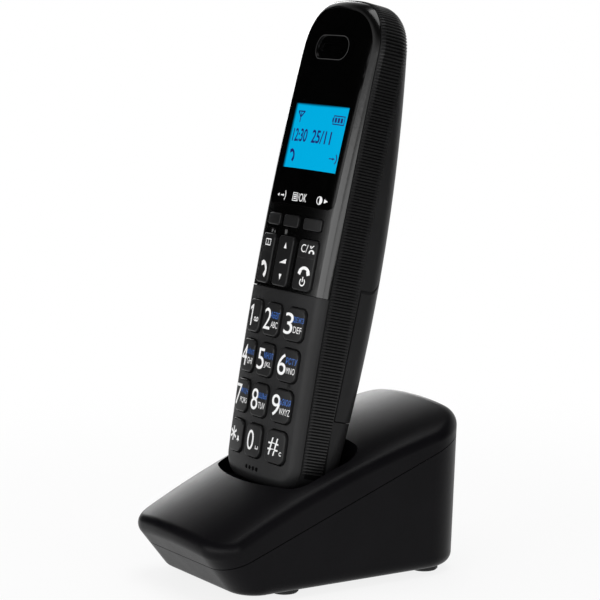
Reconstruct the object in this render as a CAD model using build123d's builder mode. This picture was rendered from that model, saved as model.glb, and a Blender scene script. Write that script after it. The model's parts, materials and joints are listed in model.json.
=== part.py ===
from build123d import *
import os
from math import cos, radians, sin

# Cordless telephone: a slim handset that leans back in the cradle of a small charging base.
# Millimetres. +Z is up, the base faces -Y and the origin is on the table, under the middle of the base.

# Handset as seen from its front
HANDSET_LENGTH = 161.2
TOP_WIDTH = 46.4
BOTTOM_WIDTH = 43.2
TOP_ARCH = 3.6
BOTTOM_ARCH = 1.0
TOP_CORNER = 16.0
BOTTOM_CORNER = 8.5

# Handset as seen from its side: both faces bow, and both are crowned across
FACE_CROWN = 80.0
FACE_BOW = 1033.0
FACE_BOW_MIDDLE = 88.0
BACK_DEPTH = 28.9
BACK_CROWN = 70.0
BACK_BOW = 540.0
BACK_BOW_MIDDLE = 55.0
FACE_ROUND = 4.0
BACK_ROUND = 6.5
WALL = 2.0
PLATE = 1.0
PARTING_DEPTH = 5.15
PARTING_BOW = 1500.0
PARTING_MIDDLE = 108.0
SPLIT = 0.25

# Where the docked handset stands
HANDSET_Y = -22.8
HANDSET_Z = 33.1
LEAN = 13.45

# Face layout, measured up the handset from its lower end
GLOSS_START = 64.0
ROW_PITCH = 13.36
ROW_FIRST = 14.0
COLUMN = 12.2
DIAL_KEY = (9.2, 10.8)
DIAL_CORNER = 2.2
KEY_RISE = 1.0
SOFT_V = 86.8
SOFT_COLUMN = 11.6
SOFT_KEY = (8.8, 3.8)
SOFT_CORNER = 0.8
SOFT_RISE = 0.45
ROCKER_V = 73.5
ROCKER_COLUMN = 12.0
ROCKER_KEY = (9.0, 16.6)
ROCKER_CORNER = 1.5
ROCKER_RISE = 0.8
KEY_GAP = 0.35
KEY_LIP = 0.8
KEY_EDGE = 0.45
KEY_FOOT = 6.9
ROCKER_PLAY = 0.75
LENS_FROM = 92.2
LENS_MARGIN = 3.0
LENS_CORNER = 3.2
LENS_GAP = 0.12
SCREEN_V = 115.1
EAR_V = 145.0
EAR_SLOT = (13.6, 3.0)
EAR_DISH = (18.8, 7.6)
EAR_DISH_SINK = 0.5
GRILLE_SINK = 0.8
GRILLE_THICK = 0.8
GRILLE_GAP = 0.2
MIC_V = 5.0
MIC_HOLE = 0.75
MIC_PITCH = 2.1
MIC_HOLES = 4

# Ribbed grip along both sides and over the top
GRIP_FROM = 6.75
GRIP_TO = 14.4
GRIP_SKIN = 0.8
GRIP_BACK_MARGIN = 1.5
GRIP_START = 6.0

# Inside the handset, as depths below the face's highest line
MAT_TOP = 8.0
MAT_THICK = 0.9
MAT = (36.0, 85.0)
MAT_CORNER = 4.0
MAT_MIDDLE = 50.0
BOARD_THICK = 1.2
BOARD_HALF = 17.5
BOARD_FROM = 12.0
BOARD_TO = 144.0
SCREEN_TOP = 5.0
SCREEN_GLASS = (36.0, 26.0, 1.6)
LIGHT_GUIDE = 1.2
SCREEN_PLAY = 0.5
SPEAKER_RADIUS = 8.5
SPEAKER_HEIGHT = 3.0
SPEAKER_V = 139.0
SPEAKER_DEPTH = 5.7
RINGER_RADIUS = 9.0
RINGER_HEIGHT = 4.0
RINGER_V = 112.0
MIC_RADIUS = 2.2
MIC_HEIGHT = 2.2
MIC_DEPTH = 8.0
MIC_BODY_V = 5.0
CELL_RADIUS = 5.25
CELL_LENGTH = 44.5
CELL_COLUMN = 5.6
CELL_DEPTH = 17.9
CELL_FROM = 28.6
NUB_RADIUS = 1.9
NUB_HEIGHT = 0.8
CONTACT = (8.0, 8.0, 0.4)
TRAY_FLOOR = 11.5
TRAY_RIM = 21.6
TRAY_WALL = 0.9
TRAY_HALF = 12.4
TRAY_FROM = 26.4
TRAY_TO = 76.0
COVER_FROM = 26.0
COVER_SIDE_TOP = 66.0
COVER_SHOULDER = (18.4, 77.0)
COVER_MIDDLE_TOP = 80.0
COVER_DEPTH = 17.3
COVER_GAP = 0.35
CHARGE_COLUMN = 12.0
CHARGE_DEPTH = 14.5
CHARGE_PLATE = (5.0, 7.0, 0.6)
CHARGE_SINK = 0.35
CHARGE_GAP = 0.1
HANDSET_AERIAL = (20.0, 7.0, 0.5)
HANDSET_AERIAL_V = 134.0

# Base shell, as seen from above and from the side
FOOT_HEIGHT = 2.0
FOOT_RADIUS = 4.6
FOOT_COLUMN = 20.0
FOOT_FRONT = -18.0
FOOT_REAR = 37.0
BASE_LOW = (29.8, -37.8, 48.2)
BASE_HIGH = (32.2, -84.0, 49.2)
BASE_HIGH_Z = 62.0
FRONT_CORNER = 11.0
REAR_CORNER = 15.0
BOTTOM_ROUND = 4.0
SEAM_Z = 19.9
SEAM_Y = -22.5
SEAM_SLOPE = 20.96
SEAM_GAP = 0.3
DECK_RISE = 13.9
DECK_DROP = 6.8
DECK_FLAT = 30.0
DECK_BOW = 340.0
DECK_MIDDLE = 20.0
DECK_ROUND = 4.0
BASE_WALL = 2.2

# Cradle well, measured in the handset's own directions
WELL_HALF = 25.6
WELL_FRONT = 0.8
WELL_SHOULDER = 6.0
WELL_REAR = 29.0
WELL_CORNER = 7.0
WELL_FLOOR = 0.35
WELL_WALL = 2.0

# Inside the base
BOARD_Z = 8.0
BASE_BOARD = (50.0, 62.0, 1.6)
BASE_BOARD_Y = 8.0
POST_RADIUS = 2.6
POST_COLUMN = 20.0
POST_FRONT = -17.0
POST_REAR = 34.0
SCREW_PLACES = [(-20.0, 22.0), (20.0, 22.0)]
SCREW_RADIUS = 1.3
SCREW_HEAD = 2.5
SCREW_HEAD_HEIGHT = 1.8
SCREW_TOP = 22.0
BOSS_RADIUS = 3.0
BOSS_FROM = 16.0
SCREW_PLAY = 0.1
PILOT_TOP = 25.0
SOCKET_Z = 9.6
LINE_X = 12.0
LINE_SOCKET = (13.0, 13.6, 11.6)
LINE_CAVITY = (9.8, 11.4, 7.0)
POWER_X = -12.0
POWER_SOCKET = (9.0, 12.6, 10.6)
POWER_BORE = 2.9
POWER_PIN = 0.8
POWER_DEPTH = 9.0
SOCKET_REAR = 47.2
SOCKET_GAP = 0.2
PAGE_Z = 30.0
PAGE_RADIUS = 4.0
PAGE_PROUD = 0.9
PAGE_GAP = 0.3
PAGE_LIP = 0.9
PAGE_STEM = 4.6
SPRING_WIDTH = 3.0
SPRING_THICK = 0.5
SPRING_LENGTH = 11.0
SPRING_TIP = 0.2
SHIELD_CAN = (22.0, 18.0, 3.0)
SHIELD_PLACE = (-10.0, -8.0)
AERIAL_RADIUS = 0.5
AERIAL_HEIGHT = 11.0
AERIAL_PLACE = (18.0, -14.0)

FAR = 60.0
FACE_OVER = 12.0
CROSS_HALF = 32.0

lean_sin = sin(radians(LEAN))
lean_cos = cos(radians(LEAN))
UP_HANDSET = Vector(0, lean_sin, lean_cos)
OUT_HANDSET = Vector(0, -lean_cos, lean_sin)

# HANDSET: x across, y up its length, z out of its face. UNDER_HANDSET: x across, y towards its back, z up it
HANDSET = Plane(origin=(0, HANDSET_Y, HANDSET_Z), x_dir=(1, 0, 0), z_dir=OUT_HANDSET)
UNDER_HANDSET = Plane(origin=(0, HANDSET_Y, HANDSET_Z), x_dir=(1, 0, 0), z_dir=UP_HANDSET)
SEAM = Plane(origin=(0, SEAM_Y, SEAM_Z), x_dir=(1, 0, 0),
             z_dir=(0, -sin(radians(SEAM_SLOPE)), cos(radians(SEAM_SLOPE))))


def cross_section(v):
    """Plane across the handset at height v: x across, y out of the face."""
    return Plane(origin=HANDSET.from_local_coords((0, v, 0)), x_dir=(1, 0, 0), z_dir=-UP_HANDSET)


def out_of_face():
    """Direction in which the handset's face looks."""
    return Axis(HANDSET.origin, OUT_HANDSET)


def handset_outline(inset):
    """Front view: sides that widen to an arched top, with round corners."""
    low = BOTTOM_WIDTH / 2 - inset
    high = TOP_WIDTH / 2 - inset
    top = HANDSET_LENGTH - inset
    with BuildSketch() as outline:
        with BuildLine():
            Line((low, BOTTOM_ARCH + inset), (high, top - TOP_ARCH))
            ThreePointArc((high, top - TOP_ARCH), (0, top), (-high, top - TOP_ARCH))
            Line((-high, top - TOP_ARCH), (-low, BOTTOM_ARCH + inset))
            ThreePointArc((-low, BOTTOM_ARCH + inset), (0, inset), (low, BOTTOM_ARCH + inset))
        make_face()
        fillet(outline.vertices().group_by(Axis.Y)[0], BOTTOM_CORNER - inset)
        fillet(outline.vertices().group_by(Axis.Y)[-1], TOP_CORNER - inset)
    return outline.sketch


def round_crown(radius):
    """Control points of a crown with one radius: place across and drop from the apex."""
    drop = CROSS_HALF ** 2 / (2 * radius)
    return [(-CROSS_HALF, drop), (0, -drop), (CROSS_HALF, drop)]


def crowned_ring(section, apex, crown, bow, outward):
    """Solid of revolution whose outer skin is a bowed and crowned face.

    It is drawn across the axis from the object, so that the seam of the skin stays far away.
    """
    axis_height = apex - outward * bow
    top = 2 * axis_height - apex
    controls = [(x, top + outward * drop) for x, drop in crown]
    deep = top + outward * FAR
    with BuildPart() as ring:
        with BuildSketch(section):
            with BuildLine():
                Bezier(*controls)
                Polyline(controls[-1], (CROSS_HALF, deep), (-CROSS_HALF, deep), controls[0])
            make_face()
        revolve(axis=Axis(section.from_local_coords((0, axis_height, 0)), (1, 0, 0)))
    return ring.part


def behind_face(inset):
    """Everything behind the handset's front skin, moved in by inset."""
    section = cross_section(FACE_BOW_MIDDLE)
    return crowned_ring(section, -inset, round_crown(FACE_CROWN - inset), FACE_BOW - inset, 1)


def before_back(inset):
    """Everything in front of the handset's back skin, moved in by inset."""
    section = cross_section(BACK_BOW_MIDDLE)
    return crowned_ring(section, inset - BACK_DEPTH, round_crown(BACK_CROWN - inset), BACK_BOW - inset, -1)


def side_layer(near, far):
    """Slab that follows the side's parting line between two depths."""
    with BuildPart() as layer:
        with BuildSketch(cross_section(PARTING_MIDDLE)):
            with Locations((0, (near + far) / 2 - 2 * PARTING_BOW)):
                Rectangle(2 * FAR, far - near)
        revolve(axis=Axis(HANDSET.from_local_coords((0, PARTING_MIDDLE, -PARTING_BOW)), (1, 0, 0)))
    return layer.part


def handset_form(inset):
    """Whole outer form of the handset, moved in by inset on every side."""
    with BuildPart() as form:
        with BuildSketch(HANDSET.offset(-FAR)):
            add(handset_outline(inset))
        extrude(amount=FAR + FACE_OVER)
        add(behind_face(inset), mode=Mode.INTERSECT)
        add(before_back(inset), mode=Mode.INTERSECT)
        fillet(form.faces().sort_by(out_of_face())[-1].edges(), FACE_ROUND - inset)
        if not inset:
            fillet(form.faces().sort_by(out_of_face())[0].edges(), BACK_ROUND)
    return form.part


def face_prism(outline, near, far):
    """Prism through the face, from depth near to depth far, with the given outline."""
    with BuildPart() as prism:
        with BuildSketch(HANDSET.offset(-far)):
            add(outline)
        extrude(amount=far - near)
    return prism.part


def rounded(width, height, corner, x=0.0, v=0.0):
    """Rounded rectangle on the face."""
    with BuildSketch() as shape:
        with Locations((x, v)):
            RectangleRounded(width, height, corner)
    return shape.sketch


def slot(width, height, x=0.0, v=0.0):
    """Round-ended slot on the face."""
    with BuildSketch() as shape:
        with Locations((x, v)):
            SlotOverall(width, height)
    return shape.sketch


# Every key: node name, place across and up the face, size, corner, rise and play under the lip
dial_names = [["star", "0", "hash"], ["7", "8", "9"], ["4", "5", "6"], ["1", "2", "3"]]
side_names = ["left", "middle", "right"]
keys = {}
for row, names in enumerate(dial_names):
    for column, name in enumerate(names):
        keys["dial_key_" + name] = ((column - 1) * COLUMN, ROW_FIRST + row * ROW_PITCH,
                                    DIAL_KEY, DIAL_CORNER, KEY_RISE, KEY_GAP)
for column, name in enumerate(side_names):
    keys["soft_key_" + name] = ((column - 1) * SOFT_COLUMN, SOFT_V, SOFT_KEY, SOFT_CORNER, SOFT_RISE, KEY_GAP)
    keys["rocker_" + name] = ((column - 1) * ROCKER_COLUMN, ROCKER_V,
                              ROCKER_KEY, ROCKER_CORNER, ROCKER_RISE, ROCKER_PLAY)


def key_outline(key, grow):
    """Outline of one key, grown all round."""
    x, v, size, corner, rise, play = key
    return rounded(size[0] + 2 * grow, size[1] + 2 * grow, corner + grow, x, v)


def make_key(key):
    """Key cap that follows the crowned face, on a lip that the casing holds in."""
    x, v, size, corner, rise, play = key
    with BuildPart() as cap:
        add(face_prism(key_outline(key, 0), -FACE_OVER, KEY_FOOT))
        add(behind_face(-rise), mode=Mode.INTERSECT)
        fillet(cap.faces().sort_by(out_of_face())[-1].edges(), KEY_EDGE if rise > KEY_EDGE else rise / 2)
    with BuildPart() as lip:
        add(face_prism(key_outline(key, KEY_LIP), -FACE_OVER, KEY_FOOT))
        add(behind_face(WALL + play), mode=Mode.INTERSECT)
    with BuildPart() as whole:
        add(cap.part)
        add(lip.part)
    return whole


outer = handset_form(0)
plate_inside = handset_form(PLATE)
inside = handset_form(WALL)
front_zone = side_layer(-FACE_OVER, PARTING_DEPTH - SPLIT / 2)
behind_parting = side_layer(PARTING_DEPTH + SPLIT / 2, FAR)


def lens_outline(inset):
    """Outline of the clear panel: it follows the handset's edge, over a straight lower end."""
    with BuildSketch() as outline:
        add(handset_outline(LENS_MARGIN + inset))
        with Locations((0, LENS_FROM + inset)):
            Rectangle(2 * CROSS_HALF, HANDSET_LENGTH, align=(Align.CENTER, Align.MAX), mode=Mode.SUBTRACT)
        fillet(outline.vertices().group_by(Axis.Y)[0], LENS_CORNER)
    return outline.sketch


def above_gloss_line(gap):
    """Upper part of the handset, over the line where the gloss panel starts."""
    length = HANDSET_LENGTH + FACE_OVER - GLOSS_START - gap
    with BuildPart() as zone:
        with BuildSketch(HANDSET.offset(-FAR)):
            with Locations((0, GLOSS_START + gap + length / 2)):
                Rectangle(2 * CROSS_HALF, length)
        extrude(amount=FAR + FACE_OVER)
    return zone.part


with BuildPart() as pierced_front:
    add(outer)
    add(front_zone, mode=Mode.INTERSECT)
    for key in keys.values():
        with BuildSketch(HANDSET.offset(-KEY_FOOT - KEY_GAP)):
            add(key_outline(key, KEY_GAP))
        extrude(amount=FAR, mode=Mode.SUBTRACT)
    with BuildSketch(HANDSET.offset(-KEY_FOOT - KEY_GAP)):
        add(slot(*EAR_SLOT, 0, EAR_V))
        with Locations((0, MIC_V)):
            with GridLocations(MIC_PITCH, 0, MIC_HOLES, 1):
                Circle(MIC_HOLE)
    extrude(amount=FAR, mode=Mode.SUBTRACT)

with BuildPart() as gloss_skin:
    add(pierced_front.part)
    add(plate_inside, mode=Mode.SUBTRACT)
    add(above_gloss_line(0), mode=Mode.INTERSECT)

with BuildPart() as front_shell:
    add(pierced_front.part)
    add(inside, mode=Mode.SUBTRACT)
    add(gloss_skin.part, mode=Mode.SUBTRACT)
    with BuildSketch(HANDSET.offset(-KEY_FOOT)):
        with Locations((0, SCREEN_V)):
            Rectangle(SCREEN_GLASS[0] + 2 * SCREEN_PLAY, SCREEN_GLASS[1] + 2 * SCREEN_PLAY)
    extrude(amount=FAR, mode=Mode.SUBTRACT)

with BuildPart() as face_plate:
    add(gloss_skin.part)
    add(above_gloss_line(SPLIT), mode=Mode.INTERSECT)
    with BuildSketch(HANDSET.offset(-KEY_FOOT)):
        add(lens_outline(0))
    extrude(amount=FAR, mode=Mode.SUBTRACT)

with BuildPart() as ear_dish:
    add(face_prism(slot(*EAR_DISH, 0, EAR_V), -FACE_OVER, KEY_FOOT))
    add(behind_face(EAR_DISH_SINK), mode=Mode.SUBTRACT)

with BuildPart() as display_window:
    add(gloss_skin.part)
    with BuildSketch(HANDSET.offset(-FAR)):
        add(lens_outline(LENS_GAP))
    extrude(amount=FAR + FACE_OVER, mode=Mode.INTERSECT)
    add(ear_dish.part, mode=Mode.SUBTRACT)

# Back of the handset: shell, ribbed grip and battery cover


def cover_zone(gap):
    """Cutter for the battery cover: straight lower edge, shouldered upper edge, only behind the side seam."""
    half = TOP_WIDTH / 2 + gap
    low = COVER_FROM - gap
    side_top = COVER_SIDE_TOP + gap
    shoulder_x = COVER_SHOULDER[0] + gap
    shoulder_v = COVER_SHOULDER[1] + gap
    middle_top = COVER_MIDDLE_TOP + gap
    with BuildPart() as zone:
        with BuildSketch(HANDSET.offset(-FAR)):
            with BuildLine():
                Polyline((-shoulder_x, shoulder_v), (-half, side_top), (-half, low),
                         (half, low), (half, side_top), (shoulder_x, shoulder_v))
                ThreePointArc((shoulder_x, shoulder_v), (0, middle_top), (-shoulder_x, shoulder_v))
            make_face()
        extrude(amount=FAR - COVER_DEPTH + gap)
    return zone.part


with BuildPart() as side_grip:
    add(outer)
    add(side_layer(GRIP_FROM, GRIP_TO), mode=Mode.INTERSECT)
    add(before_back(GRIP_BACK_MARGIN), mode=Mode.INTERSECT)
    split(bisect_by=cross_section(GRIP_START), keep=Keep.BOTTOM)
    add(handset_form(GRIP_SKIN), mode=Mode.SUBTRACT)

with BuildPart() as back_shell:
    add(outer)
    add(behind_parting, mode=Mode.INTERSECT)
    add(inside, mode=Mode.SUBTRACT)
    add(side_grip.part, mode=Mode.SUBTRACT)
    add(cover_zone(COVER_GAP), mode=Mode.SUBTRACT)
    with BuildSketch(UNDER_HANDSET.offset(-WALL)):
        with Locations((-CHARGE_COLUMN, CHARGE_DEPTH), (CHARGE_COLUMN, CHARGE_DEPTH)):
            Rectangle(CHARGE_PLATE[0] + 2 * CHARGE_GAP, CHARGE_PLATE[1] + 2 * CHARGE_GAP)
    extrude(amount=WALL + CHARGE_SINK + CHARGE_PLATE[2], mode=Mode.SUBTRACT)

with BuildPart() as battery_cover:
    add(outer)
    add(cover_zone(0), mode=Mode.INTERSECT)
    add(inside, mode=Mode.SUBTRACT)

with BuildPart() as handset_charge_plates:
    with BuildSketch(UNDER_HANDSET.offset(CHARGE_SINK)):
        with Locations((-CHARGE_COLUMN, CHARGE_DEPTH), (CHARGE_COLUMN, CHARGE_DEPTH)):
            Rectangle(*CHARGE_PLATE[:2])
    extrude(amount=CHARGE_PLATE[2])

# Inside of the handset


def flat_piece(outline, depth, thick):
    """Flat piece parallel to the face, its front at the given depth."""
    with BuildPart() as piece:
        with BuildSketch(HANDSET.offset(-depth - thick)):
            add(outline)
        extrude(amount=thick)
    return piece


def disc(radius, v):
    """Round outline on the handset's middle line."""
    with BuildSketch() as shape:
        with Locations((0, v)):
            Circle(radius)
    return shape.sketch


def plain(width, height, v):
    """Square-cornered outline on the handset's middle line."""
    with BuildSketch() as shape:
        with Locations((0, v)):
            Rectangle(width, height)
    return shape.sketch


board_depth = MAT_TOP + MAT_THICK
board_back = board_depth + BOARD_THICK
key_mat = flat_piece(rounded(*MAT, MAT_CORNER, 0, MAT_MIDDLE), MAT_TOP, MAT_THICK)
handset_board = flat_piece(
    plain(2 * BOARD_HALF, BOARD_TO - BOARD_FROM, (BOARD_FROM + BOARD_TO) / 2), board_depth, BOARD_THICK)
lcd_glass = flat_piece(plain(*SCREEN_GLASS[:2], SCREEN_V), SCREEN_TOP, SCREEN_GLASS[2])
light_guide = flat_piece(plain(*SCREEN_GLASS[:2], SCREEN_V), SCREEN_TOP + SCREEN_GLASS[2], LIGHT_GUIDE)
earpiece_speaker = flat_piece(disc(SPEAKER_RADIUS, SPEAKER_V), SPEAKER_DEPTH, SPEAKER_HEIGHT)
microphone = flat_piece(disc(MIC_RADIUS, MIC_BODY_V), MIC_DEPTH, MIC_HEIGHT)
ringer_speaker = flat_piece(disc(RINGER_RADIUS, RINGER_V), board_back, RINGER_HEIGHT)
handset_aerial = flat_piece(plain(*HANDSET_AERIAL[:2], HANDSET_AERIAL_V), board_back, HANDSET_AERIAL[2])

with BuildPart() as earpiece_grille:
    with BuildSketch(HANDSET.offset(-MAT_TOP)):
        add(slot(EAR_SLOT[0] - 2 * GRILLE_GAP, EAR_SLOT[1] - 2 * GRILLE_GAP, 0, EAR_V))
    extrude(amount=FAR)
    add(behind_face(GRILLE_SINK), mode=Mode.INTERSECT)
    add(behind_face(GRILLE_SINK + GRILLE_THICK), mode=Mode.SUBTRACT)

tray_middle = (TRAY_FROM + TRAY_TO) / 2
tray_length = TRAY_TO - TRAY_FROM
with BuildPart() as battery_tray:
    with BuildSketch(HANDSET.offset(-TRAY_RIM)):
        add(plain(2 * TRAY_HALF, tray_length, tray_middle))
    extrude(amount=TRAY_RIM - TRAY_FLOOR)
    with BuildSketch(HANDSET.offset(-TRAY_RIM)):
        add(plain(2 * (TRAY_HALF - TRAY_WALL), tray_length - 2 * TRAY_WALL, tray_middle))
    extrude(amount=TRAY_RIM - TRAY_FLOOR - TRAY_WALL, mode=Mode.SUBTRACT)


def make_cell(x):
    """Rechargeable cell that stands along the handset, nub at its upper end."""
    with BuildPart() as cell:
        with BuildSketch(UNDER_HANDSET.offset(CELL_FROM)):
            with Locations((x, CELL_DEPTH)):
                Circle(CELL_RADIUS)
        extrude(amount=CELL_LENGTH)
        with BuildSketch(UNDER_HANDSET.offset(CELL_FROM + CELL_LENGTH)):
            with Locations((x, CELL_DEPTH)):
                Circle(NUB_RADIUS)
        extrude(amount=NUB_HEIGHT)
    return cell


with BuildPart() as battery_contacts:
    for v in (TRAY_FROM + TRAY_WALL, TRAY_TO - TRAY_WALL - CONTACT[2]):
        with BuildSketch(UNDER_HANDSET.offset(v)):
            with Locations((-CELL_COLUMN, CELL_DEPTH), (CELL_COLUMN, CELL_DEPTH)):
                Rectangle(*CONTACT[:2])
        extrude(amount=CONTACT[2])

# Base: one outer form, parted along the sloping seam


def base_outline(half, front, rear, inset):
    """Plan of the base at one height."""
    side = half - inset
    near = front + inset
    far = rear - inset
    with BuildSketch() as outline:
        with BuildLine():
            Polyline((-side, near), (side, near), (side, far), (-side, far), close=True)
        make_face()
        fillet(outline.vertices().group_by(Axis.Y)[0], FRONT_CORNER - inset)
        fillet(outline.vertices().group_by(Axis.Y)[-1], REAR_CORNER - inset)
    return outline.sketch


def base_form(inset):
    """Leaning walls under a pillow-shaped deck with a round shoulder."""
    pillow = [(-CROSS_HALF, DECK_DROP), (-DECK_FLAT, -DECK_DROP / 3), (DECK_FLAT, -DECK_DROP / 3),
              (CROSS_HALF, DECK_DROP)]
    deck_origin = SEAM.from_local_coords((0, DECK_MIDDLE, 0))
    deck_section = Plane(origin=deck_origin, x_dir=(1, 0, 0), z_dir=-SEAM.y_dir)
    with BuildPart() as form:
        for z, plan in ((FOOT_HEIGHT, BASE_LOW), (BASE_HIGH_Z, BASE_HIGH)):
            with BuildSketch(Plane.XY.offset(z)):
                add(base_outline(*plan, inset))
        loft(ruled=True)
        add(crowned_ring(deck_section, DECK_RISE - inset, pillow, DECK_BOW, 1), mode=Mode.INTERSECT)
        deck = form.faces().sort_by(Axis(SEAM.origin, SEAM.z_dir))[-1]
        fillet(deck.edges(), DECK_ROUND - inset)
        if not inset:
            fillet(form.faces().sort_by(Axis.Z)[0].edges(), BOTTOM_ROUND)
    return form.part


def well_outline(grow):
    """Plan of the cradle well across the handset, with its bowed front lip."""
    with BuildSketch() as outline:
        with BuildLine():
            ThreePointArc((-WELL_HALF, WELL_SHOULDER), (0, -WELL_FRONT), (WELL_HALF, WELL_SHOULDER))
            Polyline((WELL_HALF, WELL_SHOULDER), (WELL_HALF, WELL_REAR),
                     (-WELL_HALF, WELL_REAR), (-WELL_HALF, WELL_SHOULDER))
        make_face()
        fillet(outline.vertices(), WELL_CORNER)
        if grow:
            offset(amount=grow)
    return outline.sketch


base_outer = base_form(0)
with BuildPart() as base_inside:
    add(base_form(BASE_WALL))
    split(bisect_by=Plane.XY.offset(FOOT_HEIGHT + BASE_WALL), keep=Keep.TOP)

with BuildPart() as cradle_tub:
    with BuildSketch(UNDER_HANDSET.offset(-WELL_FLOOR - WELL_WALL)):
        add(well_outline(WELL_WALL))
    extrude(amount=FAR)
    with BuildSketch(Plane.XY.offset(BOSS_FROM)):
        with Locations(*SCREW_PLACES):
            Circle(BOSS_RADIUS)
    extrude(amount=FAR)
    add(base_outer, mode=Mode.INTERSECT)

with BuildPart() as base_top_cover:
    add(base_outer)
    add(base_inside.part, mode=Mode.SUBTRACT)
    split(bisect_by=SEAM.offset(SEAM_GAP / 2), keep=Keep.TOP)
    add(cradle_tub.part)
    with BuildSketch(UNDER_HANDSET.offset(-WELL_FLOOR)):
        add(well_outline(0))
    extrude(amount=FAR, mode=Mode.SUBTRACT)
    with BuildSketch(UNDER_HANDSET.offset(-WELL_FLOOR - WELL_WALL)):
        with Locations((-CHARGE_COLUMN, CHARGE_DEPTH), (CHARGE_COLUMN, CHARGE_DEPTH)):
            Rectangle(SPRING_WIDTH + 2 * SPRING_THICK, SPRING_LENGTH + 2 * SPRING_THICK)
    extrude(amount=FAR, mode=Mode.SUBTRACT)
    with BuildSketch(Plane.XY.offset(BOSS_FROM)):
        with Locations(*SCREW_PLACES):
            Circle(SCREW_RADIUS + SCREW_PLAY)
    extrude(amount=PILOT_TOP - BOSS_FROM, mode=Mode.SUBTRACT)

floor_z = FOOT_HEIGHT + BASE_WALL
with BuildPart() as base_body:
    add(base_outer)
    add(base_inside.part, mode=Mode.SUBTRACT)
    split(bisect_by=SEAM.offset(-SEAM_GAP / 2), keep=Keep.BOTTOM)
    with BuildSketch(Plane.XY.offset(floor_z)):
        with Locations(*[(x, y) for x in (-POST_COLUMN, POST_COLUMN) for y in (POST_FRONT, POST_REAR)]):
            Circle(POST_RADIUS)
    extrude(amount=BOARD_Z - floor_z)
    with BuildSketch(Plane.XY.offset(floor_z)):
        with Locations(*SCREW_PLACES):
            Circle(BOSS_RADIUS)
    extrude(amount=BOSS_FROM - floor_z - SEAM_GAP)
    with Locations(*[Location((x, y, FOOT_HEIGHT), (180, 0, 0)) for x, y in SCREW_PLACES]):
        CounterBoreHole(SCREW_RADIUS + SCREW_PLAY, SCREW_HEAD + SCREW_PLAY, 2 * SCREW_HEAD_HEIGHT, BOSS_FROM)
    for x, size in ((LINE_X, LINE_SOCKET), (POWER_X, POWER_SOCKET)):
        with Locations((x, SOCKET_REAR, SOCKET_Z - SOCKET_GAP)):
            Box(size[0] + 2 * SOCKET_GAP, size[1], size[2] + 2 * SOCKET_GAP,
                align=(Align.CENTER, Align.CENTER, Align.MIN), mode=Mode.SUBTRACT)
    with BuildSketch(Plane.XZ.offset(-SOCKET_REAR)):
        with Locations((0, PAGE_Z)):
            Circle(PAGE_RADIUS + PAGE_GAP)
    extrude(amount=2 * BASE_WALL, both=True, mode=Mode.SUBTRACT)

with BuildPart() as base_feet:
    with BuildSketch():
        with Locations(*[(x, y) for x in (-FOOT_COLUMN, FOOT_COLUMN) for y in (FOOT_FRONT, FOOT_REAR)]):
            Circle(FOOT_RADIUS)
    extrude(amount=FOOT_HEIGHT)
    chamfer(base_feet.edges().group_by(Axis.Z)[0], FOOT_HEIGHT / 4)

with BuildPart() as base_screws:
    head_z = FOOT_HEIGHT + 2 * SCREW_HEAD_HEIGHT
    head_part = (SCREW_HEAD, head_z - SCREW_HEAD_HEIGHT, head_z)
    for radius, bottom, top in (head_part, (SCREW_RADIUS, head_z, SCREW_TOP)):
        with BuildSketch(Plane.XY.offset(bottom)):
            with Locations(*SCREW_PLACES):
                Circle(radius)
        extrude(amount=top - bottom)

with BuildPart() as base_board:
    with BuildSketch(Plane.XY.offset(BOARD_Z)):
        with Locations((0, BASE_BOARD_Y)):
            Rectangle(*BASE_BOARD[:2])
        with Locations(*SCREW_PLACES):
            Circle(BOSS_RADIUS + SOCKET_GAP, mode=Mode.SUBTRACT)
    extrude(amount=BASE_BOARD[2])

board_top = BOARD_Z + BASE_BOARD[2]
with BuildPart() as line_socket:
    with Locations((LINE_X, SOCKET_REAR, board_top)):
        Box(*LINE_SOCKET, align=(Align.CENTER, Align.MAX, Align.MIN))
    with Locations((LINE_X, SOCKET_REAR, board_top + LINE_SOCKET[2] / 2)):
        Box(*LINE_CAVITY, align=(Align.CENTER, Align.MAX, Align.CENTER), mode=Mode.SUBTRACT)

power_z = board_top + POWER_SOCKET[2] / 2
with BuildPart() as power_socket:
    with Locations((POWER_X, SOCKET_REAR, board_top)):
        Box(*POWER_SOCKET, align=(Align.CENTER, Align.MAX, Align.MIN))
    with BuildSketch(Plane.XZ.offset(-SOCKET_REAR)):
        with Locations((POWER_X, power_z)):
            Circle(POWER_BORE)
            Circle(POWER_PIN, mode=Mode.SUBTRACT)
    extrude(amount=POWER_DEPTH, mode=Mode.SUBTRACT)

with BuildPart() as page_button:
    wall_y = BASE_LOW[2] + (BASE_HIGH[2] - BASE_LOW[2]) * (PAGE_Z - FOOT_HEIGHT) / (BASE_HIGH_Z - FOOT_HEIGHT)
    with BuildSketch(Plane.XZ.offset(-wall_y - PAGE_PROUD)):
        with Locations((0, PAGE_Z)):
            Circle(PAGE_RADIUS)
    extrude(amount=PAGE_STEM + PAGE_PROUD)
    fillet(page_button.faces().sort_by(Axis.Y)[-1].edges(), PAGE_PROUD / 2)
    with BuildSketch(Plane.XZ.offset(-wall_y + BASE_WALL + PAGE_GAP)):
        with Locations((0, PAGE_Z)):
            Circle(PAGE_RADIUS + PAGE_LIP)
    extrude(amount=PAGE_STEM - BASE_WALL - PAGE_GAP)


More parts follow.
